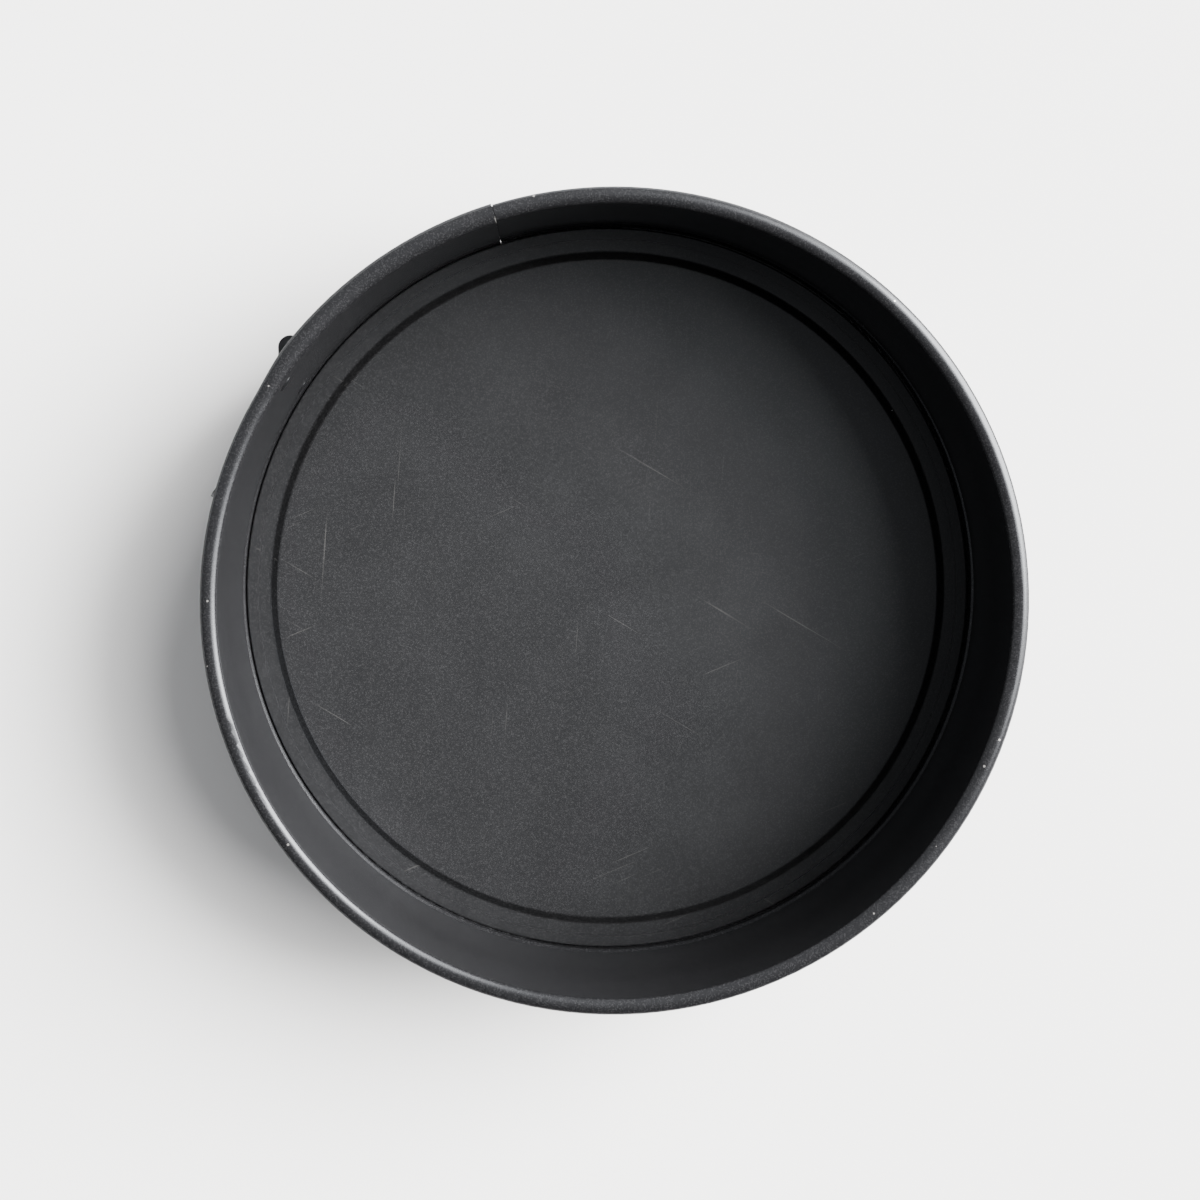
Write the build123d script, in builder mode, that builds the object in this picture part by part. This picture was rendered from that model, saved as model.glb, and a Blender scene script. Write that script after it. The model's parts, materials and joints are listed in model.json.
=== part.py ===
"""A round springform cake tin, closed: a split steel band, its over-centre latch and a loose base.

+Z is up, the tin's axis is Z and the surface it stands on is z = 0. Angles are degrees about Z from +X.
The band is one springy strip. It is cut into three arcs at two flex lines, so that its ends can slide
past each other when the latch opens: the latch end lies inside, the tail end goes round behind it.
"""

import os
from math import atan2, cos, degrees, hypot, pi, radians, sin, sqrt

from build123d import *

# Band
SHEET = 0.45  # thickness of the band
INNER_RADIUS = 115.0  # inside of the band at the latch end
SEAM_STEP = 0.5  # the tail end's wall stands this much further out at the seam
NEST_GAP = 0.3  # between the two layers where they overlap
BEND_RADIUS = 0.9
RIM_WALL_TOP = 65.75  # where the wall ends and the rim curl starts
RIM_WIDTH = 4.95  # the curl's width round most of the band
RIM_SHOULDER, RIM_CROWN = 1.5, 3.2  # the curl is an oval: its tight and wide radii at that width
RIM_CROWN_TURN = 70.0  # how far the sheet turns over the crown
RIM_UNDERSIDE_TURN = 50.0  # and how far back underneath
NEST_RIM_WIDTH = 5.85  # the wider curl at the latch end, which takes the tail's curl inside it
LIP_RADIUS = 112.5  # inner edge of the foot that the base rests on
BEAD_LOW, BEAD_HIGH, BEAD_DEPTH = 2.4, 7.2, 1.4

# Angles round the band
FLEX_ANGLE = 32.5  # tail end to back
FLEX_ANGLE_2 = FLEX_ANGLE + 180  # back to latch end
SEAM_ANGLE = 107.2  # the latch end's visible edge
SEAM_CLEARANCE = 0.15
TAIL_ANGLE = 138.0  # the hidden end of the tail
TAPER_START, TAPER_END, TAPER_STEPS = 141.0, 150.0, 6  # the wide curl narrows here
FLEX_GAP = 0.004

# Base
BASE_RADIUS = 114.6
BASE_SHEET = 0.6
BASE_REST_Z = 0.5
BASE_HEM_WIDTH, BASE_EDGE_BEND = 3.6, 0.54
BASE_STEP_RADIUS, BASE_STEP_RUN, BASE_RISE = 107.0, 2.2, 1.6
BASE_STEP_BEND = 1.2

# Latch: the bracket, its rivets and the lever's pin
LATCH_Z = 34.0
PIVOT_ANGLE, PIVOT_RADIUS = 141.7, 121.6
PIN_RADIUS, PIN_HEAD_RADIUS, PIN_HEAD = 1.5, 2.3, 0.8
PIN_PLAY = 0.1  # along the pin, at each end
RUNNING_FIT = 0.05
BRACKET_SHEET, BRACKET_CORNER = 1.0, 2.5
BRACKET_ANGLE, BRACKET_SPAN = 145.8, 6.0
BRACKET_Z, BRACKET_HALF = 35.0, 26.5
STRAP_INSET, STRAP_DIRECTION = 0.3, 150.0  # degrees: where the strap leaves the plate and meets the knuckle
KNUCKLE_RADIUS, KNUCKLE_HALF = 2.6, 9.6
RIVET_SPREAD, RIVET_RADIUS = 23.0, 1.5
RIVET_HEAD_RADIUS, RIVET_HEAD = 2.9, 0.9
RIVET_INNER_HEAD = 0.3  # low, so that the base passes it
HEAD_SKIRT = 0.3  # the share of a rivet head's height that is upright, below its dome

# Latch: the lever; routes are lists of (radius, angle) about the tin's axis
LEVER_HALF, LEVER_SHEET, LEVER_NOSE = 10.8, 0.7, 3.6
NOSE_ARC = (-10.0, 50.0)  # where the web starts round the pin, and how far it runs
NOSE_RUN = 2.4  # straight on from the arc's end
LEVER_ROUTE = ((121.4, 149.0), (121.0, 156.0), (120.8, 161.5))  # the web's outside
LEVER_BENDS = (4.0, 8.0, 8.0, 8.0)
LEVER_PARALLEL = 31.0  # from the pin to where the sides start to draw in
TIP_ANGLE, TIP_RADIUS, TIP_HALF, TIP_CORNER = 165.3, 124.3, 7.5, 6.0
RIB_ROUTE = ((121.2, 150.4), (120.8, 156.0), (120.7, 160.2))  # just under the web's outside
RIB_HALF, RIB_THICKNESS, RIB_EDGE = 4.2, 0.9, 0.4
RIB_FOOT_RADIUS = 121.5  # the rib's outline on the web lies inside this, and its top outside
FLANGE = 0.8
FLANGE_ROUTE = ((119.0, 153.5), (117.0, 148.5), (117.0, 145.0))  # its edge towards the band

# Latch: the bail and the catch
BAIL_THROW, BAIL_OFFSET_ANGLE = 8.0, 15.0  # from the lever's pin, and how far inside the tangent
WIRE_RADIUS = 1.0
BAIL_HALF, BAIL_CORNER = 13.3, 2.4
WIRE_END = 9.7  # how near the latch's middle the bail's ends reach
CROSSBAR_ANGLE, CROSSBAR_RADIUS = 130.5, 118.4
CATCH_SHEET = 0.8
CATCH_START, CATCH_HALF = 124.5, 8.5
CATCH_CLEARANCE = 1.3  # from the crossbar to the tongue it pulls on
CATCH_LIP = 0.5  # the tongue's top above the crossbar's centre
CATCH_RIVET_ANGLE, CATCH_RIVET_SPREAD = 127.0, 4.5
CATCH_RIVET_RADIUS, CATCH_RIVET_HEAD_RADIUS = 1.25, 2.2

THROUGH = 40.0  # longer than anything it cuts through
NEAR = 0.1  # how close a measured corner or edge is to the one that is sought

OVERLAP_SHIFT = SHEET + NEST_GAP
TAIL_RADIUS = INNER_RADIUS + SEAM_STEP
TUCKED_RADIUS = INNER_RADIUS + OVERLAP_SHIFT
TUCKED_OUTSIDE = TUCKED_RADIUS + SHEET
BACK_SHIFT = SEAM_STEP / 2  # the back arc is off centre by this, so that it meets both ends
BAND_OUTSIDE = INNER_RADIUS + SHEET


def polar(radius, angle, z=0.0):
    return (radius * cos(radians(angle)), radius * sin(radians(angle)), z)


def upright_plane(angle, centre=(0.0, 0.0, 0.0)):
    """The half-plane through a vertical axis: local x is outward and local y is up."""
    outward, across = polar(1, angle), polar(1, angle - 90)
    return Plane(origin=centre, x_dir=outward, z_dir=across)


def outward_plane(radius, angle, z):
    """A plane that faces outward from the tin's axis."""
    return Plane(origin=polar(radius, angle, z), x_dir=polar(1, angle + 90), z_dir=polar(1, angle))


def band_section(plane, radius, rim_width, bead_growth=0.0, foot=True):
    """The strip's section: foot, wall with its outward bead, and rim curl."""
    bottom = [(LIP_RADIUS, SHEET), (radius, SHEET)] if foot else [(radius, 0)]
    low, high = BEAD_LOW - bead_growth, BEAD_HIGH + bead_growth
    bead = [
        (radius, low),
        (radius + BEAD_DEPTH, low + BEAD_DEPTH),
        (radius + BEAD_DEPTH, high - BEAD_DEPTH),
        (radius, high),
    ]
    growth = (rim_width - RIM_WIDTH) / 2
    shoulder, crown = RIM_SHOULDER + growth, RIM_CROWN + growth
    curl = [
        (shoulder, 90 - RIM_CROWN_TURN / 2),
        (crown, RIM_CROWN_TURN),
        (shoulder, 180 - RIM_CROWN_TURN),
        (crown, RIM_UNDERSIDE_TURN),
    ]
    with BuildSketch(plane) as section:
        with BuildLine():
            last = FilletPolyline(*bottom, *bead, (radius, RIM_WALL_TOP), radius=BEND_RADIUS)
            for bend, turn in curl:
                last = JernArc(last @ 1, last % 1, bend, -turn)
            offset(amount=SHEET, side=Side.RIGHT)
        make_face()
    return section.sketch


def arc_strip(plane, inner, outer, start, end):
    """A flat strip that follows a circle round the tin's axis."""
    span = end - start
    with BuildSketch(plane) as strip:
        with BuildLine():
            inside = CenterArc((0, 0), inner, start, span)
            outside = CenterArc((0, 0), outer, start, span)
            Line(inside @ 0, outside @ 0)
            Line(inside @ 1, outside @ 1)
        make_face()
    return strip.sketch


def rivet_hole(radius, angle, z, hole_radius):
    with Locations(outward_plane(radius, angle, z)):
        Cylinder(hole_radius, THROUGH, mode=Mode.SUBTRACT)


def rivet_head(plane, radius, height):
    """A domed rivet head on a short upright skirt, standing on a plane."""
    skirt = height * HEAD_SKIRT
    rise = height - skirt
    dome_radius = (radius**2 + rise**2) / (2 * rise)
    dome_centre = height - dome_radius
    dome_start = degrees(atan2(skirt - dome_centre, radius))
    upright = Plane(origin=plane.origin, x_dir=plane.x_dir, z_dir=-plane.y_dir)
    with BuildSketch(upright) as half:
        with BuildLine():
            Polyline((0, height), (0, 0), (radius, 0), (radius, skirt))
            CenterArc((0, dome_centre), dome_radius, dome_start, 90 - dome_start)
        make_face()
    revolve(half.sketch, axis=Axis(plane.origin, plane.z_dir))


def save(piece, name):
    piece.part.label = name
    export_step(piece.part, f"parts/{name}.step")


os.makedirs("parts", exist_ok=True)

# The back half of the band, a true semicircle between the two flex lines.
back_centre = polar(BACK_SHIFT, FLEX_ANGLE)
with BuildPart() as band_back:
    back_plane = upright_plane(FLEX_ANGLE_2 + FLEX_GAP, back_centre)
    back_profile = band_section(back_plane, INNER_RADIUS + BACK_SHIFT, RIM_WIDTH)
    revolve(back_profile, axis=Axis(back_centre, (0, 0, 1)), revolution_arc=180 - 2 * FLEX_GAP)
save(band_back, "band_back")

# The latch end: its wide curl takes the tail inside it, then narrows to the common width.
taper_profiles = []
for step in range(TAPER_STEPS + 1):
    share = step / TAPER_STEPS
    rim_width = NEST_RIM_WIDTH + (RIM_WIDTH - NEST_RIM_WIDTH) * (1 - cos(pi * share)) / 2
    taper_plane = upright_plane(TAPER_START + share * (TAPER_END - TAPER_START))
    taper_profiles.append(band_section(taper_plane, INNER_RADIUS, rim_width))
bracket_rivet_heights = (BRACKET_Z - RIVET_SPREAD, BRACKET_Z + RIVET_SPREAD)
with BuildPart() as band_latch_end:
    nest_profile = band_section(upright_plane(SEAM_ANGLE), INNER_RADIUS, NEST_RIM_WIDTH)
    revolve(nest_profile, axis=Axis.Z, revolution_arc=TAPER_START - SEAM_ANGLE)
    loft(taper_profiles)
    revolve(taper_profiles[-1], axis=Axis.Z, revolution_arc=FLEX_ANGLE_2 - FLEX_GAP - TAPER_END)
    for height in bracket_rivet_heights:
        rivet_hole(INNER_RADIUS, BRACKET_ANGLE, height, RIVET_RADIUS)
save(band_latch_end, "band_latch_end")

# The tail end: at the seam it steps outward and loses its foot, and its curl shrinks to fit.
catch_rivet_heights = (LATCH_Z - CATCH_RIVET_SPREAD, LATCH_Z + CATCH_RIVET_SPREAD)
joggle_angle = SEAM_ANGLE - SEAM_CLEARANCE
tucked_rim_width = NEST_RIM_WIDTH - 2 * OVERLAP_SHIFT
bead_growth = OVERLAP_SHIFT * (sqrt(2) - 1)
with BuildPart() as band_tail_end:
    open_profile = band_section(upright_plane(FLEX_ANGLE + FLEX_GAP), TAIL_RADIUS, RIM_WIDTH)
    revolve(open_profile, axis=Axis.Z, revolution_arc=joggle_angle - FLEX_ANGLE - FLEX_GAP)
    tucked_plane = upright_plane(joggle_angle)
    tucked_profile = band_section(tucked_plane, TUCKED_RADIUS, tucked_rim_width, bead_growth, foot=False)
    revolve(tucked_profile, axis=Axis.Z, revolution_arc=TAIL_ANGLE - joggle_angle)
    for height in catch_rivet_heights:
        rivet_hole(TUCKED_RADIUS, CATCH_RIVET_ANGLE, height, CATCH_RIVET_RADIUS)
save(band_tail_end, "band_tail_end")

# The base: a pressed disc with a hemmed edge and a raised middle.
base_top = BASE_REST_Z + BASE_SHEET
hem_radius = BASE_RADIUS - BASE_HEM_WIDTH
plateau_radius = BASE_STEP_RADIUS - BASE_STEP_RUN
with BuildPart() as base_plate:
    with BuildSketch(Plane.XZ) as base_profile:
        with BuildLine():
            Polyline(
                (0, base_top + BASE_RISE),
                (plateau_radius, base_top + BASE_RISE),
                (BASE_STEP_RADIUS, base_top),
                (hem_radius, base_top),
                (hem_radius, base_top + BASE_SHEET),
                (BASE_RADIUS, base_top + BASE_SHEET),
                (BASE_RADIUS, BASE_REST_Z),
                (BASE_STEP_RADIUS - BASE_SHEET, BASE_REST_Z),
                (plateau_radius - BASE_SHEET, BASE_REST_Z + BASE_RISE),
                (0, BASE_REST_Z + BASE_RISE),
                close=True,
            )
        make_face()
        corners = base_profile.vertices()
        fillet(corners.filter_by(lambda corner: corner.X > BASE_RADIUS - NEAR), BASE_EDGE_BEND)
        step_start, step_end = plateau_radius - BASE_SHEET - NEAR, BASE_STEP_RADIUS + NEAR
        corners = base_profile.vertices()
        fillet(corners.filter_by(lambda corner: step_start < corner.X < step_end), BASE_STEP_BEND)
    revolve(axis=Axis.Z)
save(base_plate, "base_plate")

# The latch's own frame has its origin on the lever's pin, x outward and y round towards the lever's tip.
pivot = polar(PIVOT_RADIUS, PIVOT_ANGLE, LATCH_Z)
latch_plane = Plane(origin=pivot, x_dir=polar(1, PIVOT_ANGLE), z_dir=(0, 0, 1))


def at_latch(radius, angle):
    """A point given from the tin's axis, in the latch's frame."""
    x, y, _ = polar(radius, angle - PIVOT_ANGLE)
    return (x - PIVOT_RADIUS, y)


# The bracket: a plate on the wall with a knuckle rolled round the pin.
plate_start, plate_end = BRACKET_ANGLE - BRACKET_SPAN / 2, BRACKET_ANGLE + BRACKET_SPAN / 2
plate_outside = BAND_OUTSIDE + BRACKET_SHEET
bracket_bottom = Plane.XY.offset(BRACKET_Z - BRACKET_HALF)
strap_root = at_latch(BAND_OUTSIDE + BRACKET_SHEET / 2, plate_start + STRAP_INSET)
strap_top = polar(KNUCKLE_RADIUS - BRACKET_SHEET / 2, STRAP_DIRECTION)[:2]
with BuildPart() as latch_bracket:
    plate_strip = arc_strip(bracket_bottom, BAND_OUTSIDE, plate_outside, plate_start, plate_end)
    extrude(plate_strip, amount=2 * BRACKET_HALF)
    corners = latch_bracket.edges().filter_by(lambda edge: abs(edge.length - BRACKET_SHEET) < NEAR)
    fillet(corners, BRACKET_CORNER)
    with BuildSketch(latch_plane.offset(-KNUCKLE_HALF)):
        with Locations(strap_root, strap_top):
            Circle(BRACKET_SHEET / 2)
        make_hull()
        Circle(KNUCKLE_RADIUS)
    extrude(amount=2 * KNUCKLE_HALF)
    with BuildSketch(latch_plane.offset(-KNUCKLE_HALF)):
        Circle(PIN_RADIUS + RUNNING_FIT)
    extrude(amount=2 * KNUCKLE_HALF, mode=Mode.SUBTRACT)
    with BuildSketch(bracket_bottom):
        Circle(BAND_OUTSIDE)
    extrude(amount=2 * BRACKET_HALF, mode=Mode.SUBTRACT)
    for height in bracket_rivet_heights:
        rivet_hole(BAND_OUTSIDE, BRACKET_ANGLE, height, RIVET_RADIUS)
save(latch_bracket, "latch_bracket")

# The rivets' inner heads are flat, so their rims touch the round wall and their middles stand off it.
head_seat = sqrt(INNER_RADIUS**2 - RIVET_HEAD_RADIUS**2)
with BuildPart() as bracket_rivets:
    for height in bracket_rivet_heights:
        seat = outward_plane(head_seat, BRACKET_ANGLE, height)
        with BuildSketch(seat):
            Circle(RIVET_RADIUS)
        extrude(amount=plate_outside - head_seat)
        rivet_head(outward_plane(plate_outside, BRACKET_ANGLE, height), RIVET_HEAD_RADIUS, RIVET_HEAD)
        inward = Plane(origin=seat.origin, x_dir=seat.x_dir, z_dir=-seat.z_dir)
        rivet_head(inward, RIVET_HEAD_RADIUS, RIVET_INNER_HEAD)
save(bracket_rivets, "bracket_rivets")

# The lever: a channel whose web wraps the knuckle, follows the wall and flares out to a thin tip.
lever_tip = at_latch(TIP_RADIUS, TIP_ANGLE)
web_route = [at_latch(radius, angle) for radius, angle in LEVER_ROUTE]
bail_pivot = polar(BAIL_THROW, 90 + BAIL_OFFSET_ANGLE)[:2]
with BuildPart() as lever:
    with BuildSketch(latch_plane.offset(-LEVER_HALF)):
        with BuildLine():
            nose = CenterArc((0, 0), LEVER_NOSE, *NOSE_ARC)
            neck = nose @ 1 + (nose % 1) * NOSE_RUN
            FilletPolyline(nose @ 1, neck, *web_route, lever_tip, radius=LEVER_BENDS)
            offset(amount=LEVER_SHEET, side=Side.LEFT)
        make_face()
    extrude(amount=2 * LEVER_HALF)
    # Seen from outside, the channel is parallel and then narrows to a rounded tip.
    face_plane = Plane(origin=pivot, x_dir=latch_plane.y_dir, z_dir=latch_plane.x_dir)
    tip_end = lever_tip[1] + LEVER_SHEET
    with BuildSketch(face_plane) as face_outline:
        with BuildLine():
            Polyline(
                (-LEVER_NOSE, LEVER_HALF),
                (LEVER_PARALLEL, LEVER_HALF),
                (tip_end, TIP_HALF),
                (tip_end, -TIP_HALF),
                (LEVER_PARALLEL, -LEVER_HALF),
                (-LEVER_NOSE, -LEVER_HALF),
                close=True,
            )
        make_face()
        corners = face_outline.vertices()
        fillet(corners.filter_by(lambda corner: corner.X > tip_end - NEAR), TIP_CORNER)
    extrude(amount=THROUGH, both=True, mode=Mode.INTERSECT)
    # A rib pressed out along the web stiffens it.
    with BuildSketch(latch_plane.offset(-RIB_HALF)):
        with BuildLine():
            rib_route = [at_latch(radius, angle) for radius, angle in RIB_ROUTE]
            FilletPolyline(*rib_route, radius=LEVER_BENDS[-1])
            offset(amount=RIB_THICKNESS, side=Side.RIGHT)
        make_face()
    extrude(amount=2 * RIB_HALF)
    rib_edges = lever.edges(Select.LAST).filter_by(
        lambda edge: hypot(edge.center().X, edge.center().Y) > RIB_FOOT_RADIUS
    )
    fillet(rib_edges, RIB_EDGE)
    # The flanges taper away along the web; their holes take the pin and the bail's ends.
    flange_bottoms = (latch_plane.offset(-LEVER_HALF), latch_plane.offset(LEVER_HALF - FLANGE))
    inset = LEVER_SHEET / 2
    flange_route = [at_latch(radius, angle) for radius, angle in FLANGE_ROUTE]
    with BuildSketch(*flange_bottoms):
        with BuildLine():
            Polyline(
                (LEVER_NOSE - inset, 0),
                (neck.X - inset, neck.Y),
                (web_route[0][0] - inset, web_route[0][1]),
                (web_route[1][0] - inset, web_route[1][1]),
                *flange_route,
                (-LEVER_NOSE, 0),
                close=True,
            )
        make_face()
        Circle(LEVER_NOSE)
        Circle(PIN_RADIUS + RUNNING_FIT, mode=Mode.SUBTRACT)
        with Locations(bail_pivot):
            Circle(WIRE_RADIUS + RUNNING_FIT, mode=Mode.SUBTRACT)
    extrude(amount=FLANGE)
save(lever, "lever")

with BuildPart() as lever_pin:
    with BuildSketch(latch_plane.offset(-LEVER_HALF - PIN_PLAY)):
        Circle(PIN_RADIUS)
    extrude(amount=2 * (LEVER_HALF + PIN_PLAY))
    rivet_head(latch_plane.offset(LEVER_HALF + PIN_PLAY), PIN_HEAD_RADIUS, PIN_HEAD)
    under_lever = Plane(origin=pivot, x_dir=latch_plane.x_dir, z_dir=(0, 0, -1))
    rivet_head(under_lever.offset(LEVER_HALF + PIN_PLAY), PIN_HEAD_RADIUS, PIN_HEAD)
save(lever_pin, "lever_pin")

# The bail: one bent wire, hooked into the lever's flanges, whose crossbar pulls on the catch.
pivot_point = latch_plane.from_local_coords(Vector(*bail_pivot))
bail_run = Vector(*polar(CROSSBAR_RADIUS, CROSSBAR_ANGLE, LATCH_Z)) - pivot_point
bail_reach, along = bail_run.length, bail_run.normalized()
bail_plane = Plane(origin=pivot_point, x_dir=along, z_dir=along.cross(Vector(0, 0, 1)))
with BuildPart() as bail:
    with BuildLine(bail_plane) as wire_path:
        FilletPolyline(
            (0, WIRE_END),
            (0, BAIL_HALF),
            (bail_reach, BAIL_HALF),
            (bail_reach, -BAIL_HALF),
            (0, -BAIL_HALF),
            (0, -WIRE_END),
            radius=BAIL_CORNER,
        )
    with BuildSketch(Plane(origin=wire_path.line @ 0, z_dir=wire_path.line % 0)):
        Circle(WIRE_RADIUS)
    sweep()
save(bail, "bail")

# The catch: a plate on the tail whose upturned end the crossbar pulls on.
catch_outside = TUCKED_OUTSIDE + CATCH_SHEET
tongue_gap = WIRE_RADIUS + CATCH_CLEARANCE
tongue_start = CROSSBAR_ANGLE + degrees(tongue_gap / CROSSBAR_RADIUS)
tongue_end = tongue_start + degrees(CATCH_SHEET / CROSSBAR_RADIUS)
catch_bottom = Plane.XY.offset(LATCH_Z - CATCH_HALF)
tongue_top = CROSSBAR_RADIUS + CATCH_LIP
with BuildPart() as catch:
    plate_strip = arc_strip(catch_bottom, TUCKED_OUTSIDE, catch_outside, CATCH_START, tongue_end)
    extrude(plate_strip, amount=2 * CATCH_HALF)
    tongue_strip = arc_strip(catch_bottom, TUCKED_OUTSIDE, tongue_top, tongue_start, tongue_end)
    extrude(tongue_strip, amount=2 * CATCH_HALF)
    for height in catch_rivet_heights:
        rivet_hole(TUCKED_OUTSIDE, CATCH_RIVET_ANGLE, height, CATCH_RIVET_RADIUS)
save(catch, "catch")

with BuildPart() as catch_rivets:
    for height in catch_rivet_heights:
        with BuildSketch(outward_plane(TUCKED_RADIUS, CATCH_RIVET_ANGLE, height)):
            Circle(CATCH_RIVET_RADIUS)
        extrude(amount=catch_outside - TUCKED_RADIUS)
        head_plane = outward_plane(catch_outside, CATCH_RIVET_ANGLE, height)
        rivet_head(head_plane, CATCH_RIVET_HEAD_RADIUS, PIN_HEAD)
save(catch_rivets, "catch_rivets")
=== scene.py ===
"""Looks of the springform pan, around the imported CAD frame.

The band, base and latch are steel with a dark non-stick coating, the bail is plated wire, and the
studio is a pale floor under one large window.
"""

import json
from math import atan2, cos, radians, sin, tau

import bpy
from mathutils import Matrix, Vector


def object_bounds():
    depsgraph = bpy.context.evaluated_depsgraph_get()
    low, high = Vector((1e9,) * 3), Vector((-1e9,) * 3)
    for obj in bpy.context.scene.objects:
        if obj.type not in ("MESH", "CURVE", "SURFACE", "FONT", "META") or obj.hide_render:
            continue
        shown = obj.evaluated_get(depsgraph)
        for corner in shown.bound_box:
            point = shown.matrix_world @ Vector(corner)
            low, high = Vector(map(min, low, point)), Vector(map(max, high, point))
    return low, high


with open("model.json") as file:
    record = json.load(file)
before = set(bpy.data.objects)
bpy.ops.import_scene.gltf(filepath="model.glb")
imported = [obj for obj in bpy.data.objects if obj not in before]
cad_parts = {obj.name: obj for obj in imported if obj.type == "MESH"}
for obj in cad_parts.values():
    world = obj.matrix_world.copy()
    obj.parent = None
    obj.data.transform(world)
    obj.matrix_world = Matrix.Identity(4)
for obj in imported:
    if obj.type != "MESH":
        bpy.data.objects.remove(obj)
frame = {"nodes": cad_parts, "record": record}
cad_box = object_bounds()

MM = 0.001
UP = (0.0, 0.0, 1.0)
RIM_TOP = cad_box[1][2]

BARE_STEEL = (0.46, 0.45, 0.43)
FLAKE = (0.1, 0.1, 0.104)
COOL_GLOSS = (0.91, 0.945, 1.0, 1.0)  # the tint of the coating's reflections
COATING_IOR = 1.45
ZINC_DARK, ZINC_PALE, ZINC_CLOUD = (0.40, 0.41, 0.43), (0.58, 0.58, 0.59), (0.30, 0.30, 0.31)


# --- shader building -------------------------------------------------------------------------

class Shader:
    """A material under construction: makes nodes and wires them up by name."""

    def __init__(self, name):
        self.material = bpy.data.materials.new(name)
        self.material.use_nodes = True
        self.tree = self.material.node_tree
        self.surface = self.tree.nodes["Principled BSDF"]
        self.place = self.node("ShaderNodeTexCoord").outputs["Object"]

    def node(self, kind, **settings):
        made = self.tree.nodes.new(kind)
        for key, value in settings.items():
            if key in made.inputs:
                self.feed(made.inputs[key], value)
            else:
                setattr(made, key, value)
        return made

    def feed(self, socket, value):
        if isinstance(value, bpy.types.NodeSocket):
            self.tree.links.new(value, socket)
        else:
            socket.default_value = value

    def set(self, **values):
        for key, value in values.items():
            self.feed(self.surface.inputs[key.replace("_", " ")], value)

    def noise(self, size, detail=3.0, roughness=0.5, place=None):
        """Noise whose features are about size metres across."""
        made = self.node("ShaderNodeTexNoise", Scale=1 / size, Detail=detail, Roughness=roughness)
        self.feed(made.inputs["Vector"], place or self.place)
        return made.outputs["Fac"]

    def cells(self, size):
        """Scattered cells about size metres across.

        Gives the distance to a cell's middle, and the cell's own random number.
        """
        made = self.node("ShaderNodeTexVoronoi", feature="F1", Scale=1 / size, Vector=self.place)
        return made.outputs["Distance"], self.along((1.0, 0.0, 0.0), made.outputs["Color"])

    def along(self, direction, place=None):
        """How far a point lies along a direction."""
        made = self.node("ShaderNodeVectorMath", operation="DOT_PRODUCT")
        self.feed(made.inputs[0], place or self.place)
        self.feed(made.inputs[1], direction)
        return made.outputs["Value"]

    def height(self):
        return self.along(UP)

    def from_axis(self):
        """How far a point lies from the pan's axis."""
        flat = self.node("ShaderNodeVectorMath", operation="MULTIPLY")
        self.feed(flat.inputs[0], self.place)
        self.feed(flat.inputs[1], (1.0, 1.0, 0.0))
        made = self.node("ShaderNodeVectorMath", operation="LENGTH")
        self.feed(made.inputs[0], flat.outputs["Vector"])
        return made.outputs["Value"]

    def stretched(self, turn, length, width):
        """Coordinates for marks that run one way: turned about Z, then stretched."""
        made = self.node("ShaderNodeMapping", vector_type="TEXTURE", Vector=self.place)
        self.feed(made.inputs["Rotation"], (0.0, 0.0, turn))
        self.feed(made.inputs["Scale"], (length / width, 1.0, 1.0))
        return made.outputs["Vector"]

    def ramp(self, factor, *stops):
        """A curve through (position, value) stops, for a number or a colour."""
        made = self.node("ShaderNodeValToRGB")
        elements = made.color_ramp.elements
        while len(elements) < len(stops):
            elements.new(0.5)
        for element, (position, value) in zip(elements, stops):
            element.position = position
            colour = value if isinstance(value, tuple) else (value, value, value)
            element.color = (*colour, 1.0)
        self.feed(made.inputs["Fac"], factor)
        return made.outputs["Color"]

    def step(self, value, start, end, low=0.0, high=1.0):
        """A smooth step from low to high as value goes from start to end."""
        made = self.node("ShaderNodeMapRange", interpolation_type="SMOOTHSTEP")
        for socket, setting in zip(made.inputs, (value, start, end, low, high)):
            self.feed(socket, setting)
        return made.outputs["Result"]

    def normal(self):
        return self.node("ShaderNodeNewGeometry").outputs["Normal"]

    def math(self, operation, first, second=0.0):
        made = self.node("ShaderNodeMath", operation=operation)
        self.feed(made.inputs[0], first)
        self.feed(made.inputs[1], second)
        return made.outputs[0]

    def times(self, *factors):
        product = factors[0]
        for factor in factors[1:]:
            product = self.math("MULTIPLY", product, factor)
        return product

    def mix(self, factor, first, second):
        made = self.node("ShaderNodeMix", data_type="RGBA")
        self.feed(made.inputs["Factor"], factor)
        for name, value in (("A", first), ("B", second)):
            socket = [s for s in made.inputs if s.name == name and s.type == "RGBA"][0]
            self.feed(socket, (*value, 1.0) if isinstance(value, tuple) else value)
        return [s for s in made.outputs if s.type == "RGBA"][0]

    def edges(self, radius):
        """Where the surface turns sharply within radius: 0 on flat metal, rising along an edge."""
        rounded = self.node("ShaderNodeBevel", samples=4, Radius=radius).outputs["Normal"]
        return self.math("SUBTRACT", 1.0, self.along(self.normal(), rounded))

    def bump(self, *layers):
        """Stacks (height, distance, strength) layers of relief."""
        normal = None
        for height, distance, strength in layers:
            made = self.node("ShaderNodeBump", Strength=strength, Distance=distance, Height=height)
            if normal:
                self.feed(made.inputs["Normal"], normal)
            normal = made.outputs["Normal"]
        self.feed(self.surface.inputs["Normal"], normal)


# --- finishes --------------------------------------------------------------------------------

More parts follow.
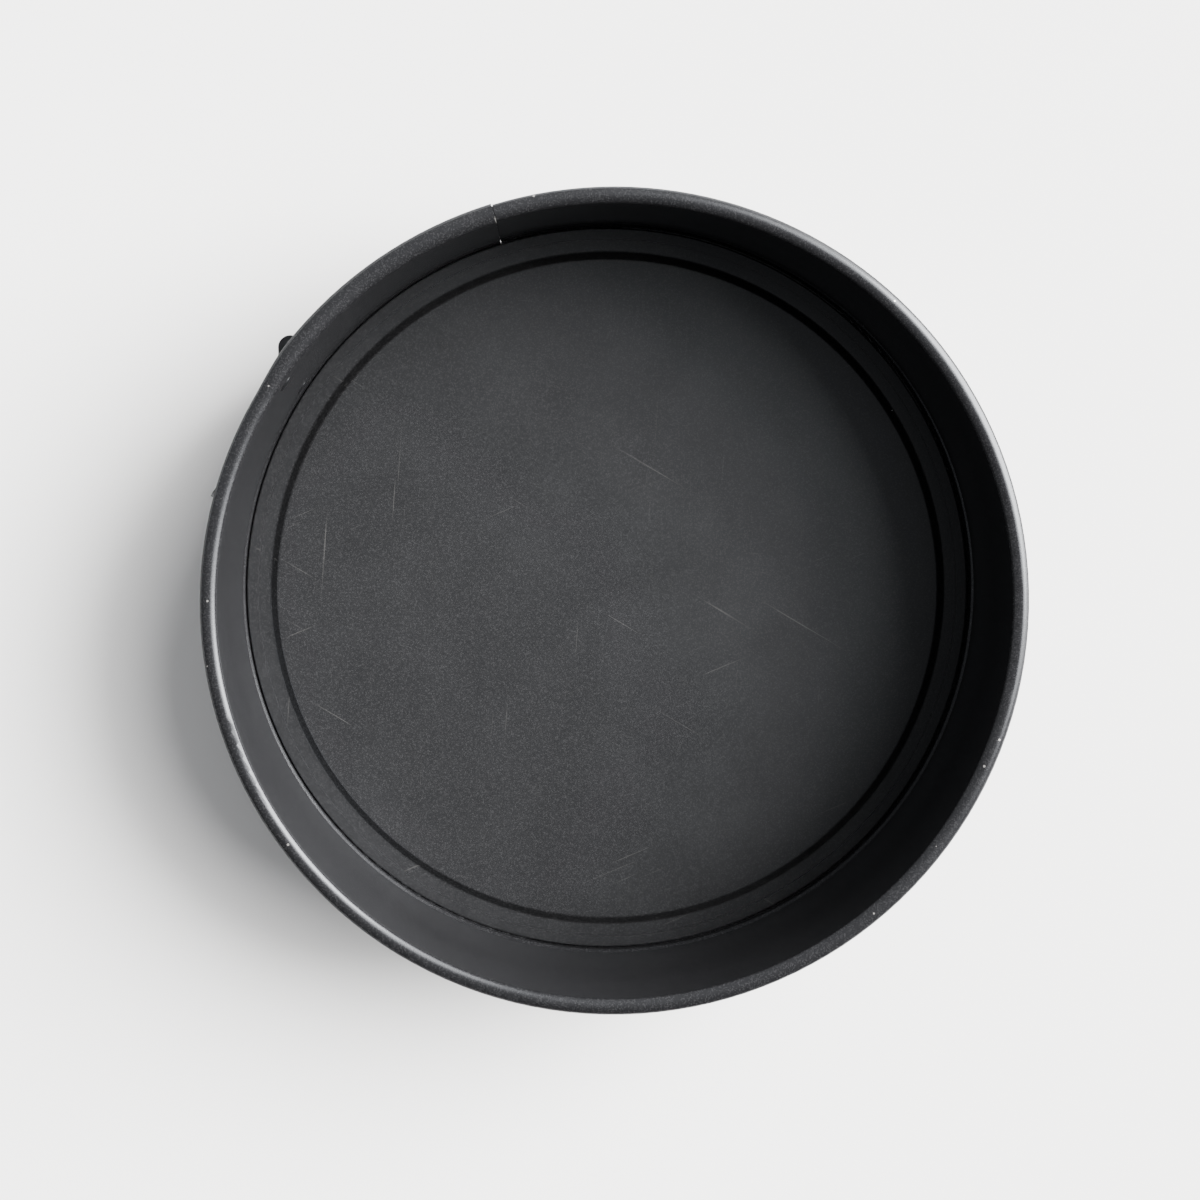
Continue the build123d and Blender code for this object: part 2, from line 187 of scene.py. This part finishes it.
def coating(shader, colour, roughness, wear, flakes=0.1, dull=0.0, grain_size=0.55 * MM):
    """Dark non-stick coating: fine flakes in a semi-gloss film.

    It is worn through to steel where wear is 1. Dull adds roughness where the film is rubbed matt,
    and grain_size is how coarse the film's grain is.
    """
    darker, paler, grainy = (tuple(c * gain for c in colour) for gain in (0.9, 1.1, 1.7))
    cloud = shader.noise(9 * MM, 5, 0.62)
    grain = shader.noise(grain_size, 2, 0.6)
    film = shader.ramp(cloud, (0.3, darker), (0.7, paler))
    film = shader.mix(shader.step(grain, 0.42, 0.72, 0.0, 0.35), film, grainy)
    _, number = shader.cells(0.3 * MM)
    film = shader.mix(shader.step(number, 0.6, 1.0, 0.0, flakes), film, FLAKE)
    shader.set(Base_Color=shader.mix(wear, film, BARE_STEEL), Metallic=wear,
               IOR=COATING_IOR, Specular_Tint=COOL_GLOSS)
    cloudy = shader.noise(28 * MM, 4, 0.5)
    smudge = shader.step(cloudy, 0.3, 0.75, roughness - 0.02, roughness + 0.02)
    rub = shader.step(shader.noise(1.4 * MM, 3), 0.3, 0.7, -0.01, 0.01)
    shader.set(Roughness=shader.math("ADD", shader.math("ADD", smudge, rub), dull))
    peel = shader.noise(2 * grain_size, 2, 0.4)
    shader.bump((peel, 0.01 * MM, 0.5), (grain, 0.004 * MM, 0.5))


def rim_nicks(shader):
    """Tiny chips in the coating along the crest of the rim."""
    crest = shader.step(shader.height(), RIM_TOP - 1.9 * MM, RIM_TOP - 1.2 * MM)
    distance, number = shader.cells(4.5 * MM)
    middle = shader.step(distance, 0.06, 0.09, 1.0, 0.0)
    return shader.times(crest, middle, shader.step(number, 0.7, 0.72), 0.6)


def dull_edge(shader):
    """The outer shoulder of the rim, which everything rubs against, has lost its gloss."""
    normal = shader.normal()
    shoulder = shader.step(shader.along(UP, normal), 0.72, 0.82, 1.0, 0.0)
    outward = shader.step(shader.along(shader.place, normal), 0.0, 20 * MM)
    on_rim = shader.step(shader.height(), RIM_TOP - 4.8 * MM, RIM_TOP - 4.4 * MM)
    return shader.times(shoulder, outward, on_rim, 0.5)


def seam_wear(shader):
    """The rim's cut edge at the overlap, rubbed bright in places."""
    corners = frame["nodes"]["band_latch_end"].data.vertices
    seam = min(atan2(corner.co.y, corner.co.x) % tau for corner in corners)
    past_edge = shader.along((-sin(seam), cos(seam), 0.0))
    near = shader.step(shader.math("ABSOLUTE", past_edge), 0.1 * MM, 0.3 * MM, 1.0, 0.0)
    reach = shader.along((cos(seam), sin(seam), 0.0))
    this_side = shader.step(reach, 0.0, MM)
    inner_half = shader.times(this_side, shader.step(reach, 117 * MM, 118 * MM, 1.0, 0.0))
    on_rim = shader.step(shader.height(), RIM_TOP - 3.0 * MM, RIM_TOP - 2.0 * MM)
    scuffed = shader.step(shader.noise(1.6 * MM, 3, 0.6), 0.44, 0.56)
    return shader.times(near, inner_half, on_rim, scuffed, 0.3)


def band_coat():
    """The band's coating, with chips on the rim, a rubbed seam and a dull outer shoulder."""
    shader = Shader("band_coat")
    wear = shader.math("MAXIMUM", rim_nicks(shader), seam_wear(shader))
    coating(shader, (0.0062, 0.0062, 0.0068), 0.24, wear, dull=dull_edge(shader))
    return shader.material


def base_coat():
    """The base's coating, with the faint criss-cross marks that knives and cake servers leave."""
    shader = Shader("base_coat")
    marks = []
    for turn, size in ((0.4, 0.9), (1.5, 1.2), (2.6, 1.0)):
        lines = shader.noise(size * MM, 2, 0.5, shader.stretched(turn, 60, 1))
        marks.append(shader.step(lines, 0.71, 0.76))
    patches = shader.step(shader.noise(45 * MM, 2), 0.45, 0.62, 0.0, 0.06)
    scratches = shader.math("MAXIMUM", shader.math("MAXIMUM", marks[0], marks[1]), marks[2])
    wear = shader.times(scratches, patches)
    coating(shader, (0.0066, 0.0066, 0.007), 0.31, wear, grain_size=0.8 * MM)
    return shader.material


def latch_coat():
    """The latch's coating is thinner and rubs through along the edges outside the band."""
    shader = Shader("latch_coat")
    outside = shader.step(shader.from_axis(), 115.2 * MM, 115.6 * MM)
    edge = shader.times(outside, shader.step(shader.edges(0.5 * MM), 0.06, 0.25))
    rubbed = shader.step(shader.noise(2.2 * MM, 4, 0.65), 0.5, 0.62)
    coating(shader, (0.003, 0.003, 0.0033), 0.31, shader.times(edge, rubbed, 0.7), flakes=0.02)
    return shader.material


def plated_steel():
    """Zinc-plated wire: satin, with fine drawn lines and a slightly uneven plating."""
    shader = Shader("plated_steel")
    grain = shader.noise(0.3 * MM, 4, 0.7)
    cloud = shader.noise(4 * MM, 4)
    tint = shader.ramp(grain, (0.35, ZINC_DARK), (0.65, ZINC_PALE))
    tint = shader.mix(shader.step(cloud, 0.55, 0.75, 0.0, 0.35), tint, ZINC_CLOUD)
    satin = shader.step(cloud, 0.3, 0.7, 0.26, 0.42)
    shader.set(Base_Color=tint, Metallic=1.0, Roughness=satin)
    shader.bump((grain, 0.008 * MM, 0.5))
    return shader.material


FINISHES = {"band_coat": band_coat(), "base_coat": base_coat(),
            "latch_coat": latch_coat(), "plated_steel": plated_steel()}
for entry in frame["record"]["subparts"]:
    node = frame["nodes"][entry["node"]]
    node.data.materials.clear()
    node.data.materials.append(FINISHES[entry["material_slot"]])


# --- studio ----------------------------------------------------------------------------------

WINDOW_AZIMUTH, WINDOW_HEIGHT = radians(22), radians(36)
WINDOW_COLOUR = (1.0, 0.99, 0.975)
WINDOW_LAYERS = (("window", radians(42), 17), ("window_glow", radians(70), 12))  # width, strength
FLOOR_SIZE = 200
FLOOR_DIM, FLOOR_PALE = (0.82, 0.82, 0.82), (0.86, 0.86, 0.858)
ROOM_AZIMUTH = radians(80)
ROOM_COLOUR = (0.97, 0.98, 1.0, 1.0)
ROOM_DIM, ROOM_BRIGHT = 0.04, 1.0
ROOM_SPREAD = 0.9  # how near to straight across the room it reaches these
EYE = (-0.02268, 0.04964, 0.718)
AIM = (-0.00452, 0.00191, 0.06525)
LENS, SENSOR = 67.8, 36.0


def toward(azimuth, height):
    """The direction at an azimuth from +X and a height above the floor."""
    return Vector((cos(azimuth) * cos(height), sin(azimuth) * cos(height), sin(height)))


def floor():
    """A plain pale floor that reaches out of sight."""
    bpy.ops.mesh.primitive_plane_add(size=FLOOR_SIZE)
    ground = bpy.context.object
    ground.name = "floor"
    shader = Shader("floor")
    cloudy = shader.noise(0.4, 3)
    shader.set(Base_Color=shader.ramp(cloudy, (0.3, FLOOR_DIM), (0.7, FLOOR_PALE)), Roughness=0.6)
    ground.data.materials.append(shader.material)


def window():
    """A large soft light, up and to the right: brightest in the middle, and even everywhere."""
    turn = toward(WINDOW_AZIMUTH, WINDOW_HEIGHT).to_track_quat("Z", "Y").to_euler()
    for name, width, strength in WINDOW_LAYERS:
        lamp = bpy.data.lights.new(name, "SUN")
        lamp.angle = width
        lamp.energy = strength
        lamp.color = WINDOW_COLOUR
        light = bpy.data.objects.new(name, lamp)
        bpy.context.scene.collection.objects.link(light)
        light.rotation_euler = turn


def room():
    """The room's own light: pale on one side and dim across from it."""
    world = bpy.data.worlds.new("room")
    world.use_nodes = True
    tree = world.node_tree
    direction = tree.nodes.new("ShaderNodeTexCoord").outputs["Generated"]
    side = tree.nodes.new("ShaderNodeVectorMath")
    side.operation = "DOT_PRODUCT"
    side.inputs[1].default_value = toward(ROOM_AZIMUTH, 0.0)
    tree.links.new(direction, side.inputs[0])
    level = tree.nodes.new("ShaderNodeMapRange")
    limits = (-ROOM_SPREAD, ROOM_SPREAD, ROOM_DIM, ROOM_BRIGHT)
    for socket, setting in zip(list(level.inputs)[1:], limits):
        socket.default_value = setting
    tree.links.new(side.outputs["Value"], level.inputs["Value"])
    background = tree.nodes["Background"]
    background.inputs["Color"].default_value = ROOM_COLOUR
    tree.links.new(level.outputs["Result"], background.inputs["Strength"])
    bpy.context.scene.world = world


def camera():
    """Looks down almost along the pan's axis, with +Y up in the picture."""
    lens = bpy.data.cameras.new("camera")
    lens.lens, lens.sensor_width = LENS, SENSOR
    eye = bpy.data.objects.new("camera", lens)
    bpy.context.scene.collection.objects.link(eye)
    back = (Vector(EYE) - Vector(AIM)).normalized()
    right = Vector((0, 1, 0)).cross(back).normalized()
    eye.matrix_world = Matrix((right, back.cross(right), back)).transposed().to_4x4()
    eye.location = EYE
    bpy.context.scene.camera = eye


floor()
window()
room()
camera()
